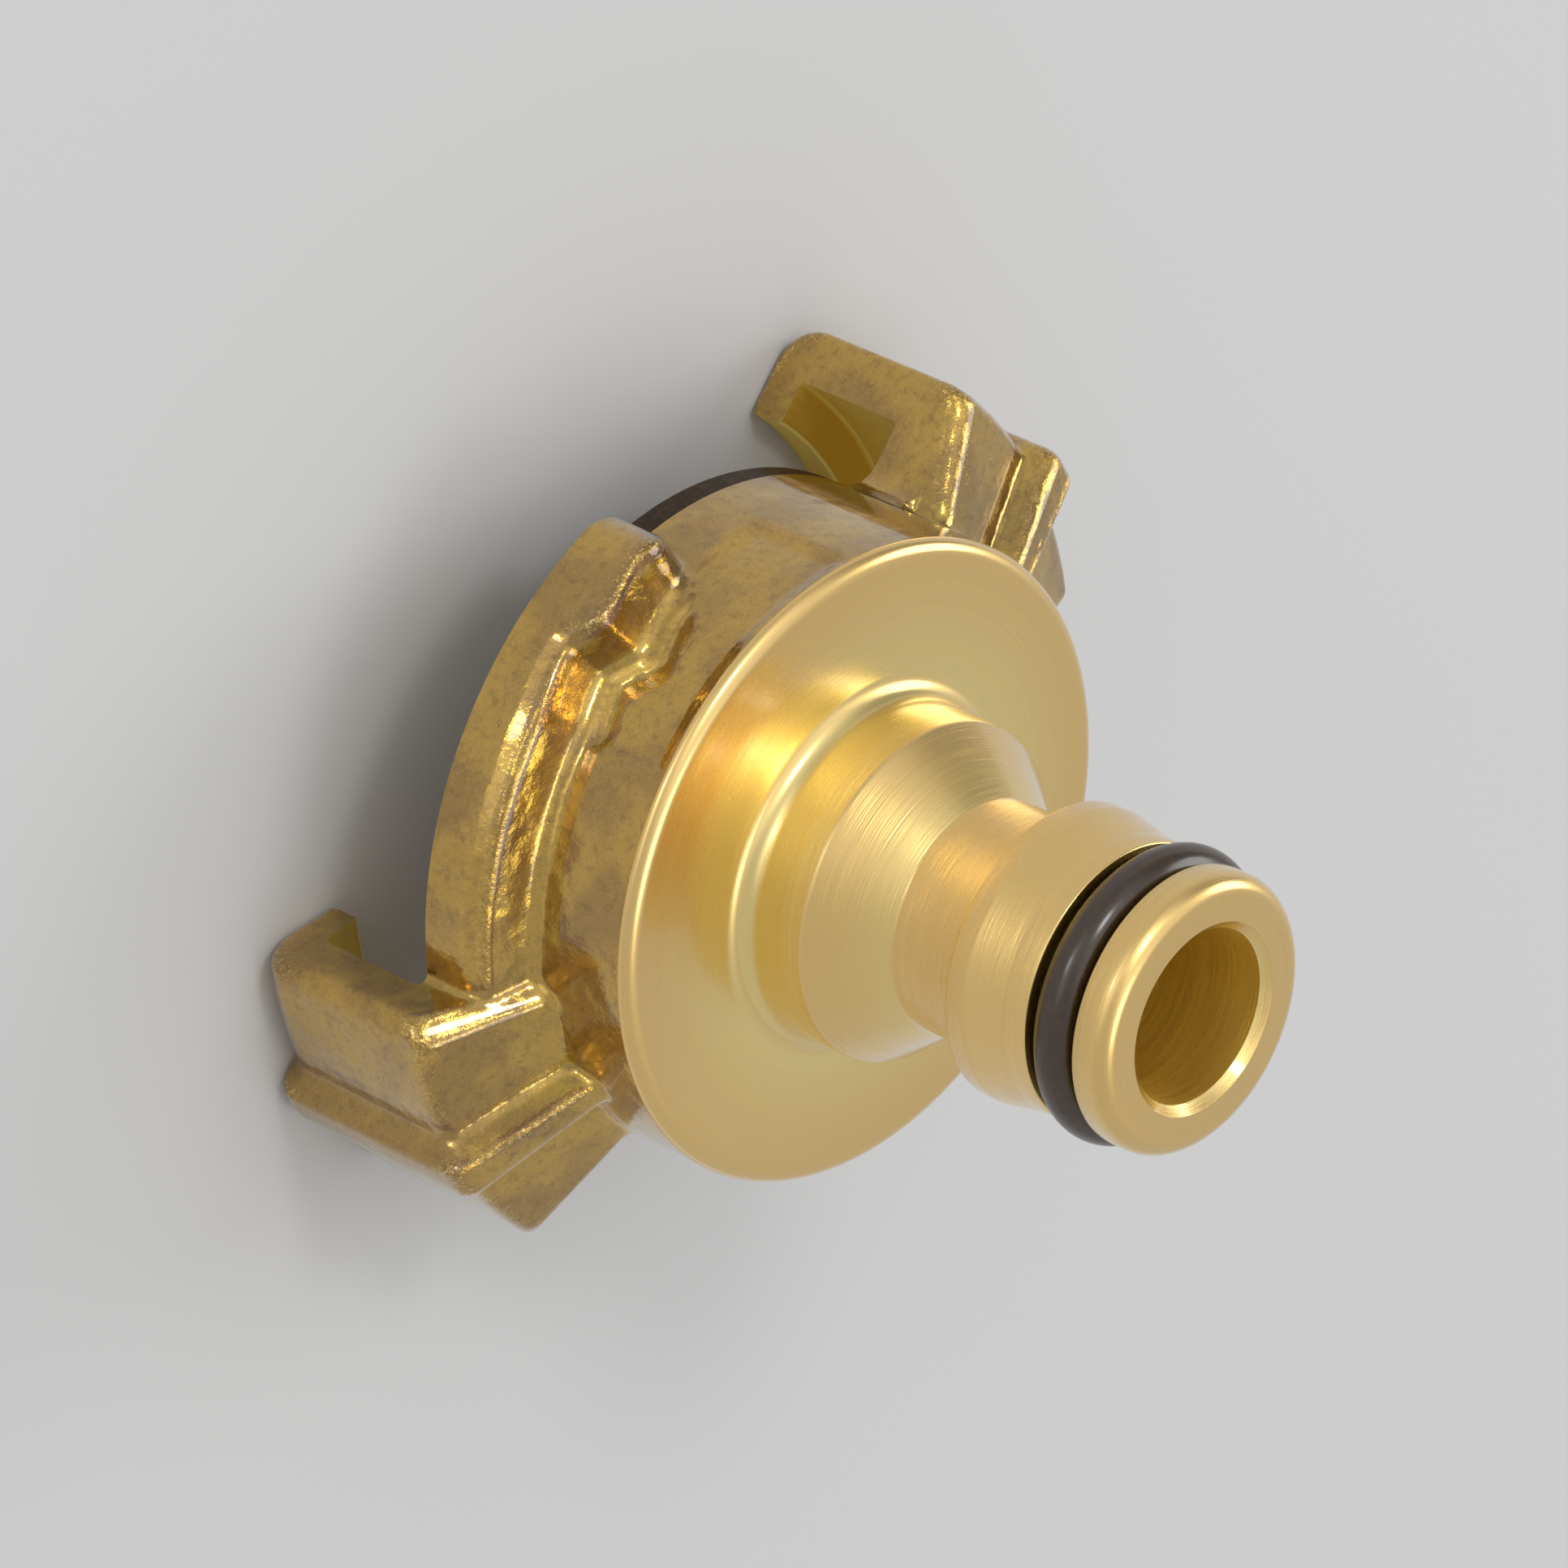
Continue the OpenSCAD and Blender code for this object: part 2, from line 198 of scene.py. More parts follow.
# Finishes: roughness from the smooth to the rough places, and depth of the relief
VARNISH_IOR = 1.7
FORGED_ROUGH = (0.05, 0.16)
TURNED_ROUGH = (0.22, 0.34)
BORED_ROUGH = (0.45, 0.6)
SEAL_ROUGH = (0.45, 0.58)
RING_ROUGH = (0.25, 0.38)
SKIN_DEPTH = 0.08
LATHE_DEPTH = 0.01
RUBBER_DEPTH = 0.006

# Relief of a forging's skin: how dense its parts are for each metre, and their heights
BROAD_DENSITY = 190
WAVE_DENSITY = 480
FLOW_DENSITY = (1500, 1500, 170)  # drawn out along the axis
SPECK_DENSITY = 1.3  # specks along the width of a grain
MOTTLE_H = 0.6
GRAIN_H = 0.06
GRAIN_WORN_H = 0.3  # added where the skin is worn
WAVE_H = 3.6
FLOW_H = 0.35
PIT_H = 0.55
PIT_SPREAD = 0.5  # radius of the largest pits, as a share of their cells, for each pit share
PIT_EDGE = (-0.05, 0.06)  # from the inside to the outside of a pit's soft edge
FLAT_RELIEF = 0.65
WORN_RELIEF = 0.9  # added where the skin is worn
MOTTLE_RANGE = (0.3, 0.7)  # mottle from the smoothest to the roughest places

# Lines of the lathe
LINES_OUT = 0.9  # lines for each spacing outwards
LINES_UP = 1.75  # lines for each spacing along the axis
BAND_SPACING = 9  # lines for each band
BAND_H = 0.5
LINES_RANGE = (0.4, 1.1)  # height from the smoothest to the roughest places
FACE_LINES = 0.3  # how strongly they show on the face
NOSE_LINES = 1.7  # added on the nose
NOSE_LINES_FROM = 1  # above the face
NOSE_LINES_FULL = 4

# Camera: its right, up and back axes, its place along them from a point on the axis of the
# part, and the angle by which all of it is turned around that axis
CAMERA_AXES = ((-0.64337, -0.25039, 0.72340),
               (0.0, -0.94500, -0.32710),
               (0.76555, -0.21046, 0.60796))
CAMERA_PLACE = (-4.440, 4.420, 552.7)
CAMERA_TURN = -49.75
CAMERA_AIM_Z = 21.3
LENS = 234.0
SENSOR_W = 36.0
CLIP = (0.01, 100)  # metres

# Studio, in metres. Its lamps are a metre from the part's foot: name, azimuth, elevation,
# diameter and brightness of the panel
LAMPS = (("key", -106, 50, 0.22, 10.0),
         ("low_front", -62, 6, 0.2, 4.5),
         ("left_back", 166, 32, 0.5, 2.8),
         ("overhead", 60, 80, 0.4, 2.0))
LAMP_AIM = (0, 0, 0.02)
FLOOR_SIZE = 6
FLOOR_ROUGH = 0.9

# Brightness of its walls, and zones that change it: azimuth, elevation, angles of the
# zone's core and reach, change
WORLD_LEVEL = 0.54
WORLD_ZONES = ((-172, 8, 10, 35, -0.2),
               (-106, 50, 12, 45, 0.3),
               (-60, 0, 8, 36, 0.6),
               (-150, 80, 15, 40, 0.3))

# Worked out from the sizes above
Z_FLANGE = LIP_T + GROOVE_W
Z_FACE = Z_FLANGE + BODY_L
Z_SHOULDER = Z_FLANGE + SHOULDER_T
Z_FOOT = Z_FACE + FOOT_L
Z_CONE = Z_FOOT + CONE_L
Z_NECK = Z_CONE + NECK_L
Z_COLLAR = Z_NECK + COLLAR_SLOPE_L
Z_COLLAR_END = Z_COLLAR + COLLAR_L
Z_LAND = Z_COLLAR_END + TAPER_L
Z_RING = Z_LAND + LAND_L
Z_RING_END = Z_RING + CORD_D + RING_ROOM
Z_END = Z_RING_END + TIP_L
CORE_R = BODY_R - ROOT_DEPTH
GROOVE_R = GAP_R + LIP_W
CLAW_R = GROOVE_R + CLAW_WALL
CLAW_END = CLAW_ARC / 2
MID_R = (CLAW_R + GROOVE_R) / 2  # middle of a claw's wall
FLANGE_R = BODY_R + FLANGE_W
STOP_FROM, STOP_TO = STOP_AT - STOP_ARC / 2, STOP_AT + STOP_ARC / 2
TOE_FROM = FLANGE_ARC - TOE_ARC
POCKET_R = BODY_R - POCKET_WALL
UNDERCUT_R = POCKET_R + UNDERCUT


# Profiles
def arc(cx, cz, r, a, b, n):
    """Points of an arc around (cx, cz), from angle a to angle b in n steps."""
    return [(cx + r * math.cos(math.radians(a + (b - a) * i / n)),
             cz + r * math.sin(math.radians(a + (b - a) * i / n))) for i in range(n + 1)]


def around(r, angle):
    """The point at a radius and an angle around the axis."""
    return r * math.cos(math.radians(angle)), r * math.sin(math.radians(angle))


def smooth(t):
    """A soft step from 0 to 1."""
    u = min(1.0, max(0.0, t))
    return u * u * (3 - 2 * u)


def round_inset(r, d):
    """How far an edge of radius r lies back at the distance d from it."""
    return 0.0 if d >= r else r - math.sqrt(max(0.0, r * r - (r - d) ** 2))


def rounded(points, radii, steps=3):
    """The polygon with its corners rounded; radii names the corners by their index."""
    out = []
    n = len(points)
    for i, p in enumerate(points):
        r = radii.get(i, 0)
        if r <= 0:
            out.append(p)
            continue
        p, a, b = np.array(p), np.array(points[i - 1]), np.array(points[(i + 1) % n])
        u, v = (a - p) / np.linalg.norm(a - p), (b - p) / np.linalg.norm(b - p)
        half = math.acos(max(-1.0, min(1.0, float(u @ v)))) / 2
        back = r / math.tan(half)
        c = p + (u + v) / np.linalg.norm(u + v) * (r / math.sin(half))
        s, e = p + u * back - c, p + v * back - c
        a0, a1 = math.atan2(s[1], s[0]), math.atan2(e[1], e[0])
        turn = (a1 - a0 + math.pi) % (2 * math.pi) - math.pi
        for k in range(steps + 1):
            t = a0 + turn * k / steps
            out.append((c[0] + r * math.cos(t), c[1] + r * math.sin(t)))
    return out


# Meshes
def mesh_object(name, points, faces):
    """A new object from points in millimetres."""
    mesh = bpy.data.meshes.new(name)
    mesh.from_pydata([tuple(float(c) * MM for c in p) for p in points], [], faces)
    mesh.validate()
    obj = bpy.data.objects.new(name, mesh)
    bpy.context.scene.collection.objects.link(obj)
    return obj


def outward(obj):
    """The object with its doubles merged and its faces turned outwards."""
    bm = bmesh.new()
    bm.from_mesh(obj.data)
    bmesh.ops.remove_doubles(bm, verts=bm.verts, dist=1e-7)
    bmesh.ops.recalc_face_normals(bm, faces=bm.faces)
    bm.to_mesh(obj.data)
    bm.free()
    return obj


def turned(name, profile):
    """Revolves a closed profile of (radius, z); points on the axis become one pole."""
    points, rings = [], []
    for r, z in profile:
        if r < 1e-6:
            rings.append([len(points)])
            points.append((0.0, 0.0, z))
        else:
            rings.append(list(range(len(points), len(points) + SEGMENTS)))
            for k in range(SEGMENTS):
                a = math.radians(SEAM_AT) + 2 * math.pi * k / SEGMENTS
                points.append((r * math.cos(a), r * math.sin(a), z))
    faces = []
    for i, lower in enumerate(rings):
        upper = rings[(i + 1) % len(rings)]
        for k in range(SEGMENTS):
            m = (k + 1) % SEGMENTS
            if len(lower) == 1 and len(upper) == 1:
                break
            if len(lower) == 1:
                faces.append((lower[0], upper[m], upper[k]))
            elif len(upper) == 1:
                faces.append((lower[k], lower[m], upper[0]))
            else:
                faces.append((lower[k], lower[m], upper[m], upper[k]))
    return outward(mesh_object(name, points, faces))


def bands(rings, n):
    """Faces between rings of n points each."""
    return [(j * n + i, j * n + (i + 1) % n, (j + 1) * n + (i + 1) % n, (j + 1) * n + i)
            for j in range(rings - 1) for i in range(n)]


def cap(ring, n, tip):
    """Faces from all points of a ring to one point."""
    return [(ring * n + i, ring * n + (i + 1) % n, tip) for i in range(n)]


def swept(name, stations):
    """Joins sections, each (angle, points), into one closed solid around the axis."""
    n, last = len(stations[0][1]), len(stations) - 1
    points = [(*around(r, angle), z) for angle, section in stations for r, z in section]
    faces = bands(len(stations), n)
    for ring, way in ((0, -END_CROWN), (last, END_CROWN)):
        angle, section = stations[ring]
        r = (section[0][0] + 2 * section[n // 3][0]) / 3
        z = (section[0][1] + 2 * section[n // 3][1]) / 3
        faces += cap(ring, n, len(points))
        points.append((*around(r, angle + way), z))
    return outward(mesh_object(name, points, faces))


# Forged shapes
def back_root(rim_r, rim_z, slope, fillet):
    """Where the sloped back of a claw or flange meets the barrel, with its fillet."""
    s = math.radians(slope)
    r = BODY_R + fillet - FILLET_SINK
    z = rim_z + (fillet - (r - rim_r) * math.sin(s)) / math.cos(s)
    return arc(r, z, fillet, 270 - slope, 180, 8) + [(CORE_R, z)]


def claw_section(rim_r, rim_z, front_z, front_r):
    """Section of a claw: round front edge, rim, round shoulder and sloped back."""
    s = math.radians(SHOULDER_SLOPE)
    shoulder_z = rim_z - SHOULDER_R * (1 - math.sin(s)) / math.cos(s)
    return ([(CORE_R, front_z)]
            + arc(rim_r - front_r, front_z + front_r, front_r, -90, 0, 14)
            + arc(rim_r - SHOULDER_R, shoulder_z, SHOULDER_R, 0, 90 - SHOULDER_SLOPE, 8)
            + back_root(rim_r, rim_z, SHOULDER_SLOPE, ROOT_R))


def belt_rise(t):
    """Height of the raised belt, from 0 to 1, where t runs from -1 to 1 across it."""
    if abs(t) >= 1:
        return 0.0
    return smooth((1 + t) / BELT_RISE_SHARE) if t < 0 else math.sqrt(1 - t ** 3)


def claw_station(angle):
    """Section of the claw at an angle from its middle, where its ends are rounded."""
    to_lock = math.radians(angle + CLAW_END) * MID_R
    to_free = math.radians(CLAW_END - angle) * MID_R
    inset = max(round_inset(CLAW_END_R, to_lock), round_inset(FREE_END_R, to_free))
    bevel = max(0.0, CLAW_CHAMFER - to_lock) * BEVEL_SHARE
    back = max(inset, bevel, round_inset(FREE_BACK_R, to_free))
    rise = BELT_H * belt_rise(angle / (BELT_ARC / 2))
    front_r = CLAW_FRONT_R + (BELT_FRONT_R - CLAW_FRONT_R) * rise / BELT_H
    return angle, claw_section(CLAW_R - inset + rise, Z_SHOULDER - back + rise, inset, front_r)


def claw_blank():
    """A claw, still full inside."""
    half_belt = BELT_ARC / 2
    step = math.degrees(max(CLAW_CHAMFER, FREE_BACK_R) / MID_R)
    near = [step * t ** CLAW_CROWDING for t in np.linspace(0, 1, 10)]
    # Locking end, plain wall, rise and fall of the belt, plain wall, free end
    angles = ([-CLAW_END + a for a in near]
              + list(np.linspace(-CLAW_END + step, -half_belt, 12))[1:-1]
              + [half_belt * t for t in np.linspace(-1, 0, 18)]
              + [half_belt * math.sin(t) for t in np.linspace(0, math.pi / 2, 14)][1:]
              + list(np.linspace(half_belt, CLAW_END - step, 12))[1:-1]
              + [CLAW_END - a for a in reversed(near)])
    return swept("claw", [claw_station(float(a)) for a in angles])


def end_fillet():
    """The hollow round between the free end of a claw and the barrel."""
    start = math.degrees(END_FILLET_R / BODY_R)
    top = (Z_SHOULDER + (CLAW_R - BODY_R - END_FILLET_R) * math.tan(math.radians(SHOULDER_SLOPE))
           - FREE_BACK_R)
    foot = BODY_R - FILLET_SINK
    outline = ([(CORE_R, -END_FILLET_R), (BODY_R + END_FILLET_R, -END_FILLET_R)]
               + arc(BODY_R + END_FILLET_R, END_FILLET_R, END_FILLET_R, -90, -170, 12)
               + [around(foot, start), around(CORE_R, start)])
    n = len(outline)
    points = [(x, y, z) for z in (Z_FLANGE - OVERLAP, top) for x, y in outline]
    faces = [tuple(range(n)), tuple(range(2 * n - 1, n - 1, -1))]
    faces += [(i, (i + 1) % n, n + (i + 1) % n, n + i) for i in range(n)]
    obj = outward(mesh_object("end_fillet", points, faces))
    obj.data.transform(Matrix.Rotation(math.radians(CLAW_END), 4, "Z"))
    return obj


def ramp_rise(a):
    """Height of the flange's back beyond its plain thickness, a degrees from the claw."""
    if a < STOP_FROM:
        return -RAMP_FALL * smooth((a - STOP_FROM + RAMP_FALL_ARC) / RAMP_FALL_ARC)
    if a < STOP_TO:
        return -RAMP_FALL + STOP_H * smooth((a - STOP_FROM) / STOP_ARC)
    return STOP_H - RAMP_FALL - CREST_FALL * smooth((a - STOP_TO) / (TOE_FROM - STOP_TO))


def flange_station(a):
    """Section of the ramp flange, a degrees from the claw."""
    toe = max(0.0, (a - TOE_FROM) / TOE_ARC)
    shrink = 1 - math.sqrt(max(0.0, 1 - toe * toe))
    edge = RIM_CHAMFER + (TOE_CHAMFER - RIM_CHAMFER) * smooth((a - STOP_FROM) / STOP_ARC)
    rim_r = FLANGE_R - FLANGE_W * shrink
    rim_z = Z_FLANGE + FLANGE_T + ramp_rise(a) - TOE_FALL * shrink
    fillet = min(ROOT_R, max(MIN_FILLET, (rim_r - BODY_R) / 2))
    lean = math.atan(CHAMFER_LEAN * (1 - shrink))
    front = [(CORE_R, Z_FLANGE - OVERLAP), (rim_r, Z_FLANGE - OVERLAP)]
    rim = arc(rim_r - RIM_EDGE_R, rim_z - edge - RIM_EDGE_R * math.tan(lean / 2),
              RIM_EDGE_R, 0, math.degrees(lean), 6)
    crest = [(rim_r - edge * math.tan(lean), rim_z)]
    outline = front + rim + crest + back_root(rim_r, rim_z, FLANGE_SLOPE, fillet)
    bend = math.tan((math.radians(90 - FLANGE_SLOPE) - lean) / 2)
    crest_r = min(CREST_R, CREST_SHARE * edge / bend)
    return -a, rounded(outline, {len(front) + len(rim): crest_r}, 6)


def flange_blank():
    """A ramp flange, from inside its claw to its toe."""
    # Plain back, fall of the ramp and rise of the stop, crest, toe
    angles = (list(np.linspace(-CLAW_OVERLAP, STOP_FROM - RAMP_FALL_ARC, 30))[:-1]
              + list(np.linspace(STOP_FROM - RAMP_FALL_ARC, STOP_TO, 36))[:-1]
              + list(np.linspace(STOP_TO, TOE_FROM, 8))[:-1]
              + [TOE_FROM + TOE_ARC * math.sin(t) for t in np.linspace(0, TOE_END, 24)])
    obj = swept("flange", [flange_station(float(a)) for a in reversed(angles)])
    obj.data.transform(Matrix.Rotation(math.radians(-CLAW_END), 4, "Z"))
    return obj


def barrel():
    """The forged side of the body, with its two shallow sunk fields."""
    n = BARREL_SEGMENTS
    levels = list(np.linspace(Z_FLANGE - OVERLAP, Z_FACE + BARREL_OVERLAP, BARREL_LEVELS))
    top = Z_FACE - FACE_BEVEL_H - FIELD_MARGIN
    points = []
    for z in levels:
        for k in range(n):
            a = 360 * k / n
            inside = (a - CLAW_END - FIELD_AT + FIELD_ARC) % 180 - FIELD_ARC
            edge = min(inside, FIELD_ARC - inside) * math.radians(BODY_R)
            edge = min(edge, z - (top - FIELD_H), top - z)
            r = BODY_R - FIELD_DEPTH * smooth(edge / FIELD_SLOPE + 0.5)
            points.append((*around(r, a), z))
    faces = bands(len(levels), n)
    for ring in (0, len(levels) - 1):
        faces += cap(ring, n, len(points))
        points.append((0, 0, levels[ring]))
    return outward(mesh_object("barrel", points, faces))


# Joining and cutting
def applied(obj):
    """The object's mesh with its modifiers made real."""
    dg = bpy.context.evaluated_depsgraph_get()
    mesh = bpy.data.meshes.new_from_object(obj.evaluated_get(dg))
    old = obj.data
    obj.modifiers.clear()
    obj.data = mesh
    bpy.data.meshes.remove(old)
    return obj


def boolean(obj, other, way):
    """Fuses the object with the other one or cuts it, and deletes the other one."""
    mod = obj.modifiers.new("cut", "BOOLEAN")
    mod.object, mod.operation, mod.solver = other, way, "MANIFOLD"
    applied(obj)
    bpy.data.objects.remove(other)
    return obj


def join(objects, name):
    """One object that holds the meshes of all, not fused yet."""
    bm = bmesh.new()
    for obj in objects:
        bm.from_mesh(obj.data)
    mesh = bpy.data.meshes.new(name)
    bm.to_mesh(mesh)
    bm.free()
    for obj in objects:
        bpy.data.objects.remove(obj)
    out = bpy.data.objects.new(name, mesh)
    bpy.context.scene.collection.objects.link(out)
    return out


def forged_blank():
    """Barrel, claws and flanges as one skin, with soft edges."""
    shapes = [barrel()]
    for turn in (0, math.pi):
        for make in (claw_blank, end_fillet, flange_blank):
            obj = make()
            obj.data.transform(Matrix.Rotation(turn, 4, "Z"))
            shapes.append(obj)
    blank = join(shapes, "brass_body")
    fuse = blank.modifiers.new("fuse", "REMESH")
    fuse.mode, fuse.voxel_size, fuse.adaptivity = "VOXEL", VOXEL * MM, 0.0
    soften = blank.modifiers.new("soften", "SMOOTH")
    soften.factor, soften.iterations = SOFTENING, SOFTENING_PASSES
    thin = blank.modifiers.new("thin", "DECIMATE")
    thin.ratio = KEPT_SHARE
    return applied(blank)


def mark_edges(obj):
    """Stores on each point how strongly the surface is rounded off there (edge_rub_and_shade)."""
    mesh = obj.data
    count = len(mesh.vertices)
    place = np.empty(count * 3)
    mesh.vertices.foreach_get("co", place)
    place = place.reshape(-1, 3)
    facing = np.empty(count * 3)
    mesh.vertex_normals.foreach_get("vector", facing)
    facing = facing.reshape(-1, 3)
    ends = np.empty(len(mesh.edges) * 2, dtype=np.int64)
    mesh.edges.foreach_get("vertices", ends)
    a, b = ends.reshape(-1, 2).T
    step = place[b] - place[a]
    length = np.linalg.norm(step, axis=1)
    bend = (np.einsum("ij,ij->i", facing[b] - facing[a], step)
            / np.maximum(length, SHORTEST_EDGE * MM) ** 2)
    total, weight = np.zeros(count), np.full(count, 1e-12)
    for end in (a, b):
        np.add.at(total, end, bend * length)
        np.add.at(weight, end, length)
    bend = total / weight
    for _ in range(WEAR_PASSES):
        total, weight = bend.copy(), np.ones(count)
        np.add.at(total, a, bend[b])
        np.add.at(total, b, bend[a])
        np.add.at(weight, a, 1)
        np.add.at(weight, b, 1)
        bend = total / weight
    # The forged finish uses this for wear and for painted shade on rounded edges
    layer = mesh.attributes.new("edge_rub_and_shade", "FLOAT", "POINT")
    rub_and_shade = np.clip((bend - WEAR_FROM) / WEAR_SPAN, 0, 1)
    layer.data.foreach_set("value", rub_and_shade.astype(np.float32))


def mark_shelter(obj):
    """Stores on each point how much of its view other parts of the body block (sheltered)."""
    mesh = obj.data
    bm = bmesh.new()
    bm.from_mesh(mesh)
    tree = BVHTree.FromBMesh(bm)
    bm.free()
    fan = []
    for k in range(SHELTER_RAYS):
        r = math.sqrt((k + 0.5) / SHELTER_RAYS)
        turn = k * math.pi * (3 - math.sqrt(5))
        fan.append(Vector((r * math.cos(turn), r * math.sin(turn), math.sqrt(1 - r * r))))
    blocked = []
    for vertex in mesh.vertices:
        out = vertex.normal
        tilt = out.to_track_quat("Z", "Y")
        start = vertex.co + out * (SHELTER_LIFT * MM)
        hits = sum(tree.ray_cast(start, tilt @ way, SHELTER_REACH * MM)[0] is not None
                   for way in fan)
        blocked.append(hits / SHELTER_RAYS)
    layer = mesh.attributes.new("sheltered", "FLOAT", "POINT")
    layer.data.foreach_set("value", blocked)


def face_cutter():
    """Takes off what stands above the bevel of the face."""
    low, high, wide = Z_FACE - FACE_BEVEL_H, Z_FACE + CUTTER_H, CLAW_R + CUTTER_MARGIN
    return turned("face_cutter", [(0, low), (wide, low), (wide, high), (0, high)])


def turned_nose():
    """The face with its bevel and the plug nose, on a core that sinks into the blank."""
    low, edge = Z_FACE - FACE_BEVEL_H, BODY_R - NOSE_INSET
    bevel = [(edge - FACE_BEVEL_W * (1 - math.cos(math.radians(t))),
              Z_FACE - FACE_BEVEL_H * (1 - math.sin(math.radians(t)))) for t in range(0, 91, 10)]
    core = ([(0, low - NOSE_CORE[0][1])]
            + [(BODY_R - inside, low - below) for inside, below in NOSE_CORE]
            + [(edge, low - NOSE_SINK)])
    neck = arc(FOOT_R + NECK_FILLET_R, Z_FACE + NECK_FILLET_R, NECK_FILLET_R, 270, 180, 16)
    rest = [(FOOT_R, Z_FOOT), (NECK_R, Z_CONE), (NECK_R, Z_NECK), (COLLAR_R, Z_COLLAR),
            (COLLAR_R, Z_COLLAR_END), (NOSE_R, Z_LAND), (NOSE_R, Z_RING), (RING_FLOOR_R, Z_RING),
            (RING_FLOOR_R, Z_RING_END), (NOSE_R, Z_RING_END)]
    tip = arc(NOSE_R - TIP_R, Z_END - TIP_R, TIP_R, 0, 90, 10) + [(0, Z_END)]
    first = len(core) + len(bevel) + len(neck)
    radii = {first + i: r for i, r in enumerate(NOSE_EDGES)}
    return turned("nose", rounded(core + bevel + neck + rest + tip, radii))


def inside_cutter():
    """Everything that is cut out from the front, and the bore through to the tip."""
    z_pocket = Z_FLANGE + POCKET_H
    profile = [(0, -OVERLAP), (GAP_R + (OVERLAP + LIP_LEAD), -OVERLAP),
               (GAP_R, LIP_LEAD), (GAP_R, LIP_T - LIP_EDGE),
               (GAP_R + LIP_EDGE, LIP_T), (GROOVE_R, LIP_T), (GROOVE_R, Z_FLANGE),
               (POCKET_R + POCKET_EDGE, Z_FLANGE), (POCKET_R, Z_FLANGE + POCKET_EDGE),
               (POCKET_R, z_pocket - UNDERCUT_H), (UNDERCUT_R, z_pocket - UNDERCUT_H),
               (UNDERCUT_R, z_pocket), (SEAL_HOLE_R + BOWL_STEP, z_pocket),
               (BORE_R, z_pocket + BOWL_H), (BORE_R, Z_END - BORE_CHAMFER),
               (BORE_R + BORE_CHAMFER + OVERLAP, Z_END + OVERLAP), (0, Z_END + OVERLAP)]
    groove = profile.index((GROOVE_R, LIP_T))
    radii = {groove: GROOVE_FILLET_R, groove + 1: GROOVE_FILLET_R}
    return turned("inside", rounded(profile, radii))


def brass_body():
    """The whole body: the blank with its nose, cut inside, and its three finishes."""
    blank = forged_blank()
    mark_edges(blank)
    nose, cut, inside = turned_nose(), face_cutter(), inside_cutter()
    lathe = lathe_group()
    finishes = [forged_brass(SKIN), turned_brass(lathe), bored_brass(lathe)]
    for obj, index in ((blank, 0), (nose, 1), (cut, 1), (inside, 2)):
        obj.data.materials.clear()
        for material in finishes:
            obj.data.materials.append(material)
        obj.data.polygons.foreach_set("material_index", [index] * len(obj.data.polygons))
    # The chamfer of the bore is turned like the face
    for side in inside.data.polygons:
        if side.center.z > (Z_END - BORE_CHAMFER) * MM:
            side.material_index = 1
    boolean(blank, cut, "DIFFERENCE")
    boolean(blank, nose, "UNION")
    boolean(blank, inside, "DIFFERENCE")
    mark_shelter(blank)
    blank.data.polygons.foreach_set("use_smooth", [True] * len(blank.data.polygons))
    blank.data.set_sharp_from_angle(angle=math.radians(SHARP_ANGLE))
    return blank


# Effects shared by the finishes
def effect_group(name, inputs, outputs):
    """An empty node group with named inputs, each with its default, and named outputs."""
    tree = bpy.data.node_groups.new(name, "ShaderNodeTree")
    for label, default in inputs.items():
        socket = tree.interface.new_socket(label, in_out="INPUT", socket_type="NodeSocketFloat")
        socket.default_value = default
    for label in outputs:
        tree.interface.new_socket(label, in_out="OUTPUT", socket_type="NodeSocketFloat")
    return tree, tree.nodes.new("NodeGroupInput").outputs, tree.nodes.new("NodeGroupOutput").inputs


